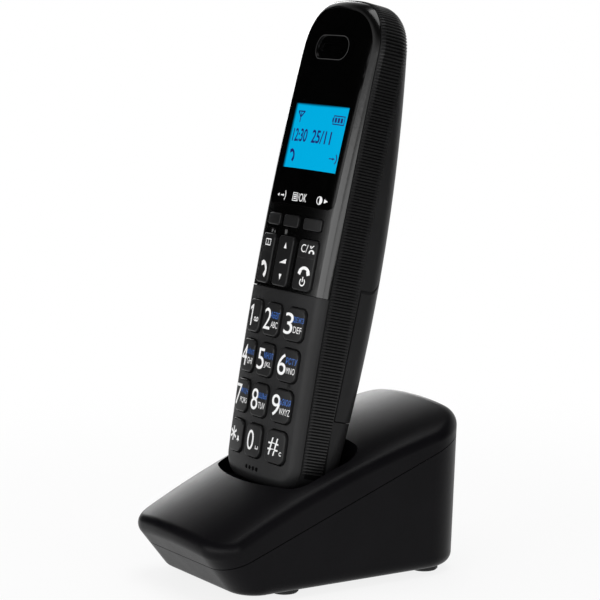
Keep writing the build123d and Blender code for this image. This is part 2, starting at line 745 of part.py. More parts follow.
def make_charge_spring(x):
    """Leaf contact in the cradle's floor, with a leg down towards the base's board."""
    with BuildPart() as spring:
        with BuildSketch(UNDER_HANDSET.offset(-SPRING_TIP - SPRING_THICK)):
            with Locations((x, CHARGE_DEPTH)):
                Rectangle(SPRING_WIDTH, SPRING_LENGTH)
        extrude(amount=SPRING_THICK)
        with BuildSketch(UNDER_HANDSET.offset(-SPRING_TIP - SPRING_LENGTH)):
            with Locations((x, CHARGE_DEPTH - SPRING_LENGTH / 2 + SPRING_THICK / 2)):
                Rectangle(SPRING_WIDTH, SPRING_THICK)
        extrude(amount=SPRING_LENGTH)
    return spring


with BuildPart() as shield_can:
    with Locations((*SHIELD_PLACE, board_top)):
        Box(*SHIELD_CAN, align=(Align.CENTER, Align.CENTER, Align.MIN))

with BuildPart() as base_aerial:
    with BuildSketch(Plane.XY.offset(board_top)):
        with Locations(AERIAL_PLACE):
            Circle(AERIAL_RADIUS)
    extrude(amount=AERIAL_HEIGHT)

pieces = {
    "front_shell": front_shell,
    "face_plate": face_plate,
    "display_window": display_window,
    "back_shell": back_shell,
    "side_grip": side_grip,
    "battery_cover": battery_cover,
    "handset_charge_plates": handset_charge_plates,
    "key_mat": key_mat,
    "handset_board": handset_board,
    "lcd_glass": lcd_glass,
    "light_guide": light_guide,
    "earpiece_speaker": earpiece_speaker,
    "earpiece_grille": earpiece_grille,
    "microphone": microphone,
    "ringer_speaker": ringer_speaker,
    "handset_aerial": handset_aerial,
    "battery_tray": battery_tray,
    "battery_contacts": battery_contacts,
    "battery_cell_left": make_cell(-CELL_COLUMN),
    "battery_cell_right": make_cell(CELL_COLUMN),
    "base_top_cover": base_top_cover,
    "base_body": base_body,
    "base_feet": base_feet,
    "base_screws": base_screws,
    "base_board": base_board,
    "line_socket": line_socket,
    "power_socket": power_socket,
    "page_button": page_button,
    "charge_spring_left": make_charge_spring(-CHARGE_COLUMN),
    "charge_spring_right": make_charge_spring(CHARGE_COLUMN),
    "shield_can": shield_can,
    "base_aerial": base_aerial,
}
for node, key in keys.items():
    pieces[node] = make_key(key)

os.makedirs("parts", exist_ok=True)
for node, piece in pieces.items():
    piece.part.label = node
    export_step(piece.part, f"parts/{node}.step")
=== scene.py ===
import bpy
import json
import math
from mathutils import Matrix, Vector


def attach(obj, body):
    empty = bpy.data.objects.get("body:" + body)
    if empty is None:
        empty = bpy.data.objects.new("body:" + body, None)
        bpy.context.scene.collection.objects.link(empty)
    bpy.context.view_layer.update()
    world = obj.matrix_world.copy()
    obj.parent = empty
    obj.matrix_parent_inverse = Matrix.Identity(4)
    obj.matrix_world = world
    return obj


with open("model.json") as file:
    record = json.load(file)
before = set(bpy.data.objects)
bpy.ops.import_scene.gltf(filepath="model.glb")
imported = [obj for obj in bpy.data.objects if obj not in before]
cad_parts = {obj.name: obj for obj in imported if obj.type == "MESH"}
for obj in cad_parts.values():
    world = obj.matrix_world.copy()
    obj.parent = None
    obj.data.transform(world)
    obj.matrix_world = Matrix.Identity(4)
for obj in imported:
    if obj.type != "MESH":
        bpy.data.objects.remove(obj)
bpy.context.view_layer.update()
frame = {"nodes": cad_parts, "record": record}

# %% [markdown]
# This lesson dresses a cordless telephone that stands in its charging base.
# The solid pieces come from the frame that was just loaded, each at its real place and size in metres.
# The finished part has to stay inside nearly the same box.

MM = 0.001
nodes = frame["nodes"]

# %% [markdown]
# The handset leans back in its cradle, so its keys, signs and ribs are easier to place in its own
# directions: x across it, v up its length from the lower end, and depth behind the highest line of its
# face. The joint that lifts the handset points exactly up its length, so the lean is read from there. The
# face is bowed along its length and crowned across, and face_depth gives that shape as a formula.

# %% Handset directions
lift_joint = next(j for j in frame["record"]["behaviour"]["joints"] if j["name"] == "handset_lift")
UP = Vector(lift_joint["axis"]).normalized()
ACROSS = Vector((1, 0, 0))
BACK = UP.cross(ACROSS)
HANDSET_ORIGIN = Vector((0, -22.8, 33.1))
FACE_CROWN = 80.0
FACE_BOW = 1033.0
FACE_BOW_MIDDLE = 88.0


def face_depth(x, v, rise):
    """Depth of the face's skin behind its highest line, for a skin that stands proud by rise. Millimetres."""
    bow = FACE_BOW + rise - x ** 2 / (2 * (FACE_CROWN + rise))
    return FACE_BOW - math.sqrt(bow ** 2 - (v - FACE_BOW_MIDDLE) ** 2)


def handset_point(x, v, depth):
    """Point of the docked handset, in metres."""
    return (HANDSET_ORIGIN + ACROSS * x + UP * v + BACK * depth) * MM


print("handset leans", round(math.degrees(math.atan2(UP.y, UP.z)), 2), "degrees")

# %% [markdown]
# A material here is a small network of nodes. Written out one by one, such networks are hard to read.
# Wire wraps one socket, so that plain sums such as 1 - mask * 0.5 add the Math nodes that they need.
# Network holds a node tree, and its node method adds any other node: first its settings, then its sockets,
# by name, or in their order where two sockets share a name.
# Finish is a network that starts with a material and its main shader.

# %% Wires and finishes


class Wire:
    """One output socket in a node tree, which takes part in plain sums."""

    def __init__(self, tree, socket):
        self.tree = tree
        self.socket = socket

    def sum_with(self, operation, left, right):
        node = self.tree.nodes.new("ShaderNodeMath")
        node.operation = operation
        for place, value in enumerate((left, right)):
            plug(self.tree, node.inputs[place], value)
        return Wire(self.tree, node.outputs[0])

    def __add__(self, other):
        return self.sum_with("ADD", self, other)

    def __radd__(self, other):
        return self.sum_with("ADD", other, self)

    def __sub__(self, other):
        return self.sum_with("SUBTRACT", self, other)

    def __rsub__(self, other):
        return self.sum_with("SUBTRACT", other, self)

    def __mul__(self, other):
        return self.sum_with("MULTIPLY", self, other)

    def __rmul__(self, other):
        return self.sum_with("MULTIPLY", other, self)


def plug(tree, socket, value):
    """Link a wire to a socket, or set the socket to a plain value."""
    if isinstance(value, Wire):
        tree.links.new(value.socket, socket)
    else:
        socket.default_value = value


class Network:
    """A node tree with one method that adds any node: first its settings, then its sockets."""

    def __init__(self, tree):
        self.tree = tree

    def node(self, kind, output, settings=None, in_order=(), **sockets):
        node = self.tree.nodes.new(kind)
        for name, value in (settings or {}).items():
            if name == "stops":
                for element, (place, colour) in zip(node.color_ramp.elements, value):
                    element.position = place
                    element.color = colour
            else:
                setattr(node, name, value)
        for place, value in enumerate(in_order):
            plug(self.tree, node.inputs[place], value)
        for socket, value in sockets.items():
            plug(self.tree, node.inputs[socket.replace("_", " ")], value)
        return Wire(self.tree, node.outputs[output])

    def places(self, kind="Object"):
        return self.node("ShaderNodeTexCoord", kind)

    def step(self, value, start, end, low=0.0, high=1.0):
        smooth = {"interpolation_type": "SMOOTHSTEP"}
        return self.node("ShaderNodeMapRange", "Result", smooth,
                         Value=value, From_Min=start, From_Max=end, To_Min=low, To_Max=high)

    def noise(self, scale, detail=3.0):
        return self.node("ShaderNodeTexNoise", "Fac", Vector=self.places(), Scale=scale, Detail=detail)

    def tints(self, factor, dark, light, start=0.3, end=0.7):
        ramp = {"stops": ((start, (*dark, 1)), (end, (*light, 1)))}
        return self.node("ShaderNodeValToRGB", "Color", ramp, Fac=factor)

    def bump(self, height, strength, distance):
        return self.node("ShaderNodeBump", "Normal", Height=height, Strength=strength, Distance=distance)

    def seen_directly(self):
        to_eye = self.node("ShaderNodeLightPath", "Is Camera Ray")
        in_mirror = self.node("ShaderNodeLightPath", "Is Glossy Ray")
        through_glass = self.node("ShaderNodeLightPath", "Is Transmission Ray")
        return to_eye + in_mirror + through_glass


class Finish(Network):
    """A material with one Principled shader."""

    def __init__(self, name, **shader):
        self.material = bpy.data.materials.new(name)
        self.material.use_nodes = True
        super().__init__(self.material.node_tree)
        self.shader = self.tree.nodes["Principled BSDF"]
        self.set(**shader)

    def set(self, **shader):
        for socket, value in shader.items():
            plug(self.tree, self.shader.inputs[socket.replace("_", " ")], value)


TINT_SCALE = 60.0
SHEEN_SCALE = 140.0
GRAIN_DEPTH = 0.0002


def moulded_plastic(name, dark, light, rough, spread, shine=0.5):
    """Moulded plastic: slow changes of tint and sheen over the surface."""
    finish = Finish(name, Specular_IOR_Level=shine)
    finish.set(Base_Color=finish.tints(finish.noise(TINT_SCALE), dark, light))
    finish.set(Roughness=rough + (finish.noise(SHEEN_SCALE) - 0.5) * spread)
    return finish


def grained_plastic(name, dark, light, rough, spread, grain, strength, shine=0.5):
    """Moulded plastic with a fine spark grain that breaks up highlights."""
    finish = moulded_plastic(name, dark, light, rough, spread, shine)
    finish.set(Normal=finish.bump(finish.noise(grain, 2.0), strength, GRAIN_DEPTH))
    return finish


print("finish helpers ready")

# %% [markdown]
# The phone is black almost everywhere, so its finishes differ in sheen rather than in colour. The lower
# casing and the base are satin with a fine spark grain, the upper panel is polished like glass, the keys
# are a little smoother than the casing, and the feet are dull rubber. One flat black for all of them would
# look like a shadow, so each finish has its own roughness, and a noise lets tint and sheen drift a little.

# %% Plastic and rubber finishes
casing_black = grained_plastic("casing_black", (0.010, 0.010, 0.0105), (0.013, 0.013, 0.0135),
                               rough=0.42, spread=0.10, grain=2600.0, strength=0.25, shine=0.20)
panel_gloss = moulded_plastic("panel_gloss", (0.0006, 0.0006, 0.0006), (0.0010, 0.0010, 0.0010),
                              rough=0.18, spread=0.04)
window_gloss = moulded_plastic("window_gloss", (0.0005, 0.0005, 0.0005), (0.0009, 0.0009, 0.0009),
                               rough=0.06, spread=0.03)
grip_black = grained_plastic("grip_black", (0.0015, 0.0015, 0.0016), (0.0025, 0.0025, 0.0026),
                             rough=0.50, spread=0.10, grain=2000.0, strength=0.15, shine=0.10)
rib_black = grained_plastic("rib_black", (0.010, 0.010, 0.0102), (0.014, 0.014, 0.0142),
                            rough=0.32, spread=0.10, grain=2000.0, strength=0.10, shine=0.50)
key_black = grained_plastic("key_black", (0.008, 0.008, 0.0083), (0.011, 0.011, 0.0113),
                            rough=0.36, spread=0.10, grain=2200.0, strength=0.12, shine=0.22)
rocker_black = grained_plastic("rocker_black", (0.008, 0.008, 0.0083), (0.011, 0.011, 0.0113),
                               rough=0.34, spread=0.08, grain=2200.0, strength=0.10, shine=0.16)
base_black = grained_plastic("base_black", (0.0030, 0.0028, 0.0035), (0.0042, 0.0039, 0.0048),
                             rough=0.34, spread=0.08, grain=2400.0, strength=0.18, shine=0.08)
foot_rubber = grained_plastic("foot_rubber", (0.008, 0.008, 0.008), (0.014, 0.014, 0.014),
                              rough=0.80, spread=0.10, grain=1500.0, strength=0.5)
mat_rubber = grained_plastic("mat_rubber", (0.25, 0.25, 0.27), (0.32, 0.32, 0.34),
                             rough=0.70, spread=0.10, grain=1500.0, strength=0.3)
socket_black = grained_plastic("socket_black", (0.010, 0.010, 0.010), (0.018, 0.018, 0.018),
                               rough=0.50, spread=0.10, grain=1800.0, strength=0.2)
sleeve_green = grained_plastic("sleeve_green", (0.05, 0.22, 0.10), (0.07, 0.28, 0.13),
                               rough=0.22, spread=0.06, grain=900.0, strength=0.05)
guide_white = grained_plastic("guide_white", (0.74, 0.78, 0.82), (0.80, 0.84, 0.88),
                              rough=0.25, spread=0.05, grain=900.0, strength=0.05)
print("plastic finishes made")

# %% [markdown]
# Metal shows only in the contacts and screws. Its drawn lines could be a picture, but a noise that is
# stretched along one axis gives them at any size. The circuit boards are green lacquer over copper: a wave
# pattern stands for the tracks.

# %% Metal and board finishes
LINE_STRETCH = (200.0, 3000.0, 200.0)


def brushed_metal(name, dark, light, rough):
    """Plated metal with fine drawn lines."""
    finish = Finish(name, Metallic=1.0)
    stretched = finish.node("ShaderNodeMapping", "Vector", Vector=finish.places(), Scale=LINE_STRETCH)
    lines = finish.node("ShaderNodeTexNoise", "Fac", Vector=stretched, Scale=1.0, Detail=2.0)
    finish.set(Base_Color=finish.tints(lines, dark, light))
    finish.set(Roughness=rough + (lines - 0.5) * 0.15)
    return finish


plated_steel = brushed_metal("plated_steel", (0.52, 0.52, 0.50), (0.66, 0.66, 0.64), 0.28)
copper_wire = brushed_metal("copper_wire", (0.60, 0.32, 0.16), (0.74, 0.42, 0.22), 0.32)
board_green = Finish("board_green", Roughness=0.35)
tracks = board_green.node("ShaderNodeTexWave", "Fac",
                          Vector=board_green.places(), Scale=180.0, Distortion=6.0)
board_green.set(Base_Color=board_green.tints(tracks, (0.008, 0.06, 0.025), (0.02, 0.13, 0.06)))
print("metal and board finishes made")

# %% [markdown]
# Each solid piece that stays in view now gets its finish. This could be done piece by piece in the material
# panel. A table from finish to pieces says in one place what each piece is made of, and the last line
# prints any piece that the table has missed.

# %% Finishes on the solids
keys = [name for name in nodes if name.startswith(("dial_key", "soft_key"))]
rockers = [name for name in nodes if name.startswith("rocker")]
finish_of = {
    casing_black: ["front_shell", "back_shell", "battery_cover"],
    panel_gloss: ["face_plate"],
    window_gloss: ["display_window", "earpiece_grille"],
    grip_black: ["side_grip"],
    key_black: keys,
    rocker_black: rockers,
    base_black: ["base_top_cover", "base_body", "page_button"],
    foot_rubber: ["base_feet", "earpiece_speaker", "microphone", "ringer_speaker"],
    mat_rubber: ["key_mat"],
    socket_black: ["line_socket", "power_socket", "battery_tray"],
    sleeve_green: ["battery_cell_left", "battery_cell_right"],
    guide_white: ["light_guide", "lcd_glass"],
    plated_steel: ["handset_charge_plates", "battery_contacts", "charge_spring_left", "charge_spring_right",
                   "shield_can", "base_screws"],
    copper_wire: ["handset_aerial", "base_aerial"],
    board_green: ["handset_board", "base_board"],
}
dressed = set()
for finish, names in finish_of.items():
    for name in names:
        nodes[name].data.materials.clear()
        nodes[name].data.materials.append(finish.material)
        dressed.add(name)
print("finished", len(dressed), "of", len(nodes), "solids; left:", sorted(set(nodes) - dressed))

# %% [markdown]
# Printed signs lie on curved keys and on the curved panel. Each sign starts as flat text or flat outlines
# in millimetres, and is then laid onto the face: every point takes the face's depth at its own place, a
# hair above the skin. That keeps a sign in contact with its key from any side, which a flat decal would not
# do.

# %% Sign helpers
PRINT_LIFT = 0.03
LETTER_STEPS = 4


def text_outline(words, width, height, weight=0.0):
    """Flat mesh of some text, centred and stretched to the given size in millimetres."""
    curve = bpy.data.curves.new("words", "FONT")
    curve.body = words
    curve.offset = weight
    curve.resolution_u = LETTER_STEPS
    maker = bpy.data.objects.new("words", curve)
    bpy.context.scene.collection.objects.link(maker)
    bpy.context.view_layer.update()
    settled = maker.evaluated_get(bpy.context.evaluated_depsgraph_get())
    mesh = bpy.data.meshes.new_from_object(settled)
    faces = [tuple(f.vertices) for f in mesh.polygons]
    flat = [p.co.to_2d() for p in mesh.vertices]
    bpy.data.objects.remove(maker)
    bpy.data.curves.remove(curve)
    bpy.data.meshes.remove(mesh)
    low = [min(p[k] for p in flat) for k in (0, 1)]
    high = [max(p[k] for p in flat) for k in (0, 1)]
    points = [((p.x - low[0]) / (high[0] - low[0]) * width - width / 2,
               (p.y - low[1]) / (high[1] - low[1]) * height - height / 2) for p in flat]
    return points, faces


def polygon(*points):
    """Flat filled outline."""
    return list(points), [tuple(range(len(points)))]


def bar(x0, y0, x1, y1):
    """Filled rectangle, cut across every millimetre or so to follow a curve."""
    steps = max(1, math.ceil(x1 - x0))
    points = [(x0 + (x1 - x0) * k / steps, y) for k in range(steps + 1) for y in (y0, y1)]
    return points, [(2 * k, 2 * k + 2, 2 * k + 3, 2 * k + 1) for k in range(steps)]


def arc_band(radius, width, start, end, steps=16, x=0.0, y=0.0):
    """Band along an arc, for curved lines in signs. Angles are in degrees."""
    points = []
    faces = []
    for k in range(steps + 1):
        turn = math.radians(start + (end - start) * k / steps)
        for r in (radius - width / 2, radius + width / 2):
            points.append((x + r * math.cos(turn), y + r * math.sin(turn)))
        if k:
            faces.append((2 * k - 2, 2 * k - 1, 2 * k + 1, 2 * k))
    return points, faces


def moved(shape, x=0.0, y=0.0, turn=0.0):
    """Flat shape turned by some degrees and moved."""
    c = math.cos(math.radians(turn))
    s = math.sin(math.radians(turn))
    return [(c * a - s * b + x, s * a + c * b + y) for a, b in shape[0]], shape[1]


def joined(*shapes):
    """Several flat shapes as one."""
    points = []
    faces = []
    for shape in shapes:
        start = len(points)
        points += shape[0]
        faces += [tuple(start + i for i in f) for f in shape[1]]
    return points, faces


def lay_on_face(name, shape, x, v, rise, body, finish, slot):
    """Lay a flat shape on the handset's face at (x, v) and let it move with a body."""
    mesh = bpy.data.meshes.new(name)
    flat, faces = shape
    laid = [handset_point(x + a, v + b, face_depth(x + a, v + b, rise) - PRINT_LIFT) for a, b in flat]
    mesh.from_pydata(laid, [], faces)
    mesh.materials.append(finish.material)
    sign = bpy.data.objects.new(name, mesh)
    bpy.context.scene.collection.objects.link(sign)
    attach(sign, body)


def ink_and_painted_light(name, dark, light):
    """Matt, a little uneven paint: printing ink for signs, and also painted shade and a painted highlight."""
    finish = Finish(name, Roughness=0.55)
    finish.set(Base_Color=finish.tints(finish.noise(900.0), dark, light))
    return finish


ink_white = ink_and_painted_light("ink_white", (0.78, 0.78, 0.78), (0.90, 0.90, 0.90))
ink_blue = ink_and_painted_light("ink_blue", (0.02, 0.11, 0.42), (0.03, 0.14, 0.50))
print("sign helpers ready")

# %% [markdown]
# The number keys carry a large digit and, to its right, two small lines of letters. The upper line is blue.
# One loop walks the rows from the bottom of the pad to the top, the same way as the keys are spaced.
# The lower row is different: a star and a hash with a small sign beside them, and a zero with a space sign.

# %% Number keys
DIAL_RISE = 1.0
ROW_FIRST = 14.0
ROW_PITCH = 13.36
COLUMN = 12.2
DIGIT = (4.3, 7.0)
LETTER_HEIGHT = 2.1
LETTER_WIDTH = 1.28
LETTER_X = 2.35
UPPER_X = LETTER_X - 0.2
letters = {
    "2": ("ABC", "АБВГ"), "3": ("DEF", "ДЕЖЗ"), "4": ("GHI", "ИЙКЛ"), "5": ("JKL", "МНОП"),
    "6": ("MNO", "РСТУ"), "7": ("PQRS", "ФХЦЧ"), "8": ("TUV", "ШЩЪЫ"), "9": ("WXYZ", "ЬЭЮЯ"),
}
pad = [["star", "0", "hash"], ["7", "8", "9"], ["4", "5", "6"], ["1", "2", "3"]]
space_sign = joined(bar(-0.8, -0.6, 0.8, -0.3), bar(-0.8, -0.6, -0.5, 0.5), bar(0.5, -0.6, 0.8, 0.5))
tape_sign = joined(*[arc_band(0.6, 0.3, 0, 360, 16, x) for x in (-0.9, 0.9)], bar(-0.9, -0.75, 0.9, -0.45))
bell_sign = joined(polygon((-1.0, -0.7), (1.0, -0.7), (0.5, 0.1), (0.45, 0.8), (-0.45, 0.8), (-0.5, 0.1)),
                   bar(-0.25, -1.1, 0.25, -0.8))
star_arm = polygon((-0.32, 0), (0.32, 0), (0.42, 2.4), (-0.42, 2.4))
star_sign = joined(*[moved(star_arm, turn=60 * k) for k in range(6)])
one_sign = polygon((0.1, -3.5), (1.05, -3.5), (1.05, 3.5), (0.3, 3.5), (-1.25, 2.5), (-1.25, 1.5), (0.1, 2.3))
recall_sign = arc_band(0.55, 0.28, 40, 320, 14)
special = {
    "star": (star_sign, -1.7, 0.3, moved(bell_sign, 2.3, -0.9)),
    "0": (text_outline("0", 4.0, 6.6), -1.2, 0.0, moved(space_sign, 3.0, -1.9)),
    "hash": (text_outline("#", 5.0, 5.8), -0.6, 0.0, moved(recall_sign, 3.3, -1.8)),
    "1": (one_sign, -2.2, 0.0, moved(tape_sign, 2.1, -1.1)),
}
for row, names in enumerate(pad):
    for column, name in enumerate(names):
        place = ((column - 1) * COLUMN, ROW_FIRST + row * ROW_PITCH, DIAL_RISE, "dial_key_" + name)
        if name in letters:
            plain, second = letters[name]
            digit = moved(text_outline(name, *DIGIT), -2.2)
            lower = text_outline(plain, LETTER_WIDTH * len(plain), LETTER_HEIGHT)
            extra = moved(lower, LETTER_X, -1.6)
            upper = text_outline(second, LETTER_WIDTH * len(second), LETTER_HEIGHT)
            lay_on_face("letters_" + name, moved(upper, UPPER_X, 1.5), *place, ink_blue, "key_black")
        else:
            glyph, glyph_x, glyph_y, extra = special[name]
            digit = moved(glyph, glyph_x, glyph_y)
        lay_on_face("digit_" + name, joined(digit, extra), *place, ink_white, "key_black")
print("printed", sum(len(names) for names in pad), "number keys")

# %% [markdown]
# The three rockers carry small signs: an open book and a lifted receiver on the left, two arrows and a
# volume wedge in the middle, and a clear sign, a laid-down receiver and a power sign on the right. A
# receiver is an arc with two end blocks, so one function draws every receiver. The outer two rockers have a
# groove between their halves; the shade in that groove is painted here as a dark line across the key.

# %% Rocker keys
SIDES = ("left", "middle", "right")
ROCKER_RISE = 0.8
ROCKER_V = 73.5
ROCKER_COLUMN = 12.0


def receiver(size, turn):
    """Telephone receiver sign of the given width, turned by some degrees."""
    handle = arc_band(0.50, 0.20, 38, 142, 14, 0, -0.32)
    ends = [moved(bar(-0.14, -0.20, 0.14, 0.10), x, -0.06, lean) for x, lean in ((-0.37, -20), (0.37, 20))]
    points, faces = joined(handle, *ends)
    return moved(([(a * size, b * size) for a, b in points], faces), turn=turn)


def arrow(size, turn):
    """Small filled arrow head that points up, turned by some degrees."""
    return moved(polygon((-size * 0.8, -size), (size * 0.8, -size), (0, size)), turn=turn)


book = joined(bar(-2.0, -1.15, -1.65, 1.15), bar(1.65, -1.15, 2.0, 1.15), bar(-0.17, -1.15, 0.17, 1.15),
              bar(-2.0, -1.15, 2.0, -0.83), bar(-2.0, 0.83, 2.0, 1.15))
power = joined(arc_band(1.15, 0.42, 125, 415, 20), bar(-0.22, 0.1, 0.22, 1.75))
clear = joined(moved(text_outline("C/", 3.3, 2.6), -1.7, 0.1), moved(receiver(2.5, 0), 1.9, -0.7),
               moved(arrow(0.45, 180), 1.1, 0.75), moved(bar(-0.8, -0.16, 0.8, 0.16), 2.0, 0.9, 40))
wedge = polygon((-2.0, -0.7), (2.0, -0.7), (2.0, 0.9))
rocker_signs = {
    "left": joined(moved(book, 0.2, 5.3), moved(receiver(5.8, -52), 0.8, -3.2)),
    "middle": joined(moved(arrow(1.0, 0), 0.4, 5.2), moved(wedge, 0.4), moved(arrow(1.0, 180), 0.4, -5.3)),
    "right": joined(moved(clear, 0.5, 5.3), moved(receiver(5.2, 0), 0.6, -1.8), moved(power, 0.6, -5.5)),
}
# Near-black paint for the painted shade that falls in the groove of the outer rockers.
groove_dark = ink_and_painted_light("groove_dark", (0.001, 0.001, 0.001), (0.002, 0.002, 0.002))
groove = polygon((-3.9, 2.35), (-1.5, 2.15), (1.5, 2.15), (3.9, 2.35),
                 (3.9, 2.6), (1.5, 2.4), (-1.5, 2.4), (-3.9, 2.6))
for column, side in enumerate(SIDES):
    place = ((column - 1) * ROCKER_COLUMN, ROCKER_V, ROCKER_RISE, "rocker_" + side)
    lay_on_face("rocker_sign_" + side, rocker_signs[side], *place, ink_white, "rocker_black")
    if side != "middle":
        lay_on_face("rocker_groove_" + side, groove, *place, groove_dark, "rocker_black")
print("printed", len(rocker_signs), "rockers")

# %% [markdown]
# Under the display a row of signs says what the three soft keys do. The screen could show them, but on this
# phone they are printed on the clear panel itself, so they stay white when the screen is dark. They lie on
# the panel's own curve, with no rise.

# %% Soft key signs
LABEL_V = 94.9
LABEL_COLUMN = 11.6
LABEL_X = 1.6
list_sign = joined(bar(-1.5, -1.4, -1.2, 1.4), bar(1.2, -1.4, 1.5, 1.4),
                   bar(-1.5, -1.4, 1.5, -1.15), bar(-1.5, 1.15, 1.5, 1.4),
                   *[bar(-0.9, y - 0.17, 0.9, y + 0.17) for y in (-0.6, 0.0, 0.6)])
into_sign = joined(bar(-1.7, -0.18, 0.5, 0.18), moved(arrow(0.6, -90), 0.5),
                   arc_band(2.3, 0.42, -42, 42, 12, -0.5))
half_disc = joined(arc_band(1.25, 0.3, 0, 360, 24), arc_band(0.65, 1.3, -90, 90, 14))
labels = {
    "left": joined(moved(arrow(0.75, 90), -2.9), moved(into_sign, 0.8)),
    "middle": joined(moved(list_sign, -2.6), moved(text_outline("/OK", 4.9, 2.7), 1.6)),
    "right": joined(moved(half_disc, -0.9), moved(arrow(0.9, -90), 2.2)),
}
for column, side in enumerate(SIDES):
    label_x = (column - 1) * LABEL_COLUMN + LABEL_X
    lay_on_face("soft_label_" + side, labels[side], label_x, LABEL_V, 0.0, "handset",
                  ink_white, "window_clear")
print("printed", len(labels), "soft key labels")

# %% [markdown]
# The earpiece lies in a shallow dish that the solids have. Its polished rim catches a thin line of light,
# which a tiny rounded edge in the solid would give only from some sides. That line is painted here as a
# highlight: a fine grey ring, laid on the panel like a sign, shows it from all of them.

# %% Earpiece rim, painted highlight
EAR_V = 145.0
EAR_HALF = 5.6
EAR_RADIUS = 4.0
EAR_LINE = 0.3
# Grey paint for the painted highlight along the polished rim of the earpiece dish.
rim_grey = ink_and_painted_light("rim_grey", (0.018, 0.018, 0.018), (0.024, 0.024, 0.024))
ear_ends = [arc_band(EAR_RADIUS, EAR_LINE, start, start + 180, 20, x)
            for start, x in ((-90, EAR_HALF), (90, -EAR_HALF))]
ear_sides = [bar(-EAR_HALF, y - EAR_LINE / 2, EAR_HALF, y + EAR_LINE / 2) for y in (-EAR_RADIUS, EAR_RADIUS)]
ear_highlight_ring = joined(*ear_ends, *ear_sides)
lay_on_face("earpiece_rim", ear_highlight_ring, 0, EAR_V, 0.0, "handset", rim_grey, "window_clear")
print("earpiece rim drawn")

# %% [markdown]
# The lit screen is a blue panel with dark segments. It is drawn as a thin skin that follows the panel's
# curve, and its light comes from Emission, not from a lamp. A faint dot grid in the colour is the pixel
# raster of such a display. A real screen lies a little behind the clear panel, so its left and upper edges
# fall into shadow. Generated coordinates run from 0 to 1 over the skin, and two soft steps turn them into
# that shadow.

# %% Lit screen
SCREEN_X = 1.3
SCREEN_V = 115.05
SCREEN_HALF = (15.5, 10.8)
SCREEN_STEPS = 24
screen_blue = Finish("screen_blue", Roughness=0.12, Specular_IOR_Level=0.2)
raster = screen_blue.node("ShaderNodeTexChecker", "Fac", Vector=screen_blue.places(), Scale=2400.0)
across = screen_blue.node("ShaderNodeSeparateXYZ", "X", Vector=screen_blue.places("Generated"))
upward = screen_blue.node("ShaderNodeSeparateXYZ", "Z", Vector=screen_blue.places("Generated"))
shade = screen_blue.step(across, 0.0, 0.07) * screen_blue.step(upward, 1.0, 0.955) * (0.95 + raster * 0.05)
glow = screen_blue.tints(shade, (0.0, 0.02, 0.04), (0.0, 0.40, 0.72), 0.0, 1.0)
screen_blue.set(Base_Color=(0.0, 0.02, 0.04, 1), Emission_Color=glow, Emission_Strength=1.0)
screen_ink = Finish("screen_ink", Roughness=0.3, Specular_IOR_Level=0.2, Emission_Strength=1.0)
screen_ink.set(Base_Color=(0.002, 0.004, 0.02, 1))
mottle = screen_ink.noise(900.0)
screen_ink.set(Emission_Color=screen_ink.tints(mottle, (0.006, 0.010, 0.12), (0.008, 0.014, 0.15)))


def grid_patch(half_x, half_y, steps):
    """Flat rectangle cut into cells, so that it can follow a curve."""
    row = steps + 1
    points = [(half_x * (2 * i / steps - 1), half_y * (2 * j / steps - 1))
              for j in range(row) for i in range(row)]
    faces = [(j * row + i, j * row + i + 1, (j + 1) * row + i + 1, (j + 1) * row + i)
             for j in range(steps) for i in range(steps)]
    return points, faces


screen_shape = grid_patch(*SCREEN_HALF, SCREEN_STEPS)
lay_on_face("screen_panel", screen_shape, SCREEN_X, SCREEN_V, 0.0, "handset", screen_blue, "screen_blue")
aerial_sign = joined(bar(-0.25, -2.0, 0.25, 1.6),
                     polygon((-2.4, 1.9), (-2.4, 1.45), (0, -0.6), (0, 0.1), (-1.6, 1.5), (-1.6, 1.9)),
                     polygon((2.4, 1.9), (1.6, 1.9), (1.6, 1.5), (0, 0.1), (0, -0.6), (2.4, 1.45)),
                     bar(-2.4, 1.5, 2.4, 1.9))
battery_sign = joined(bar(-2.7, -1.55, 2.7, -1.2), bar(-2.7, 1.2, 2.7, 1.55), bar(2.4, -1.55, 2.7, 1.55),
                      bar(-2.7, -1.55, -2.4, 1.55), bar(-3.1, -0.7, -2.7, 0.7),
                      *[bar(x, -0.8, x + 0.95, 0.8) for x in (-1.9, -0.5, 0.9)])
clock = moved(text_outline("12:30  25/11", 23.0, 4.4, 0.018), -1.3, 0.2)
screen_marks = joined(moved(aerial_sign, -9.9, 6.4), moved(battery_sign, 12.0, 6.3), clock,
                      moved(receiver(4.6, -50), -9.9, -6.3), moved(into_sign, 13.0, -6.3))
lay_on_face("screen_marks", screen_marks, SCREEN_X, SCREEN_V, PRINT_LIFT, "handset",
              screen_ink, "screen_blue")
print("screen shows a clock and four signs")

# %% [markdown]
# The sides of the handset have a ribbed grip: one rib each millimetre, up both sides and over the top.
# Hundreds of ribs could be cut into the solid, but they are only a texture of its surface. Here each rib is
# a small bar with a narrow crest, and rays that come from outside find where the smooth skin lies under it:
# on the grip, or on the edge of the back shell around it. A station is a place where one rib stands: first
# up the sides, then around the top about one middle point.

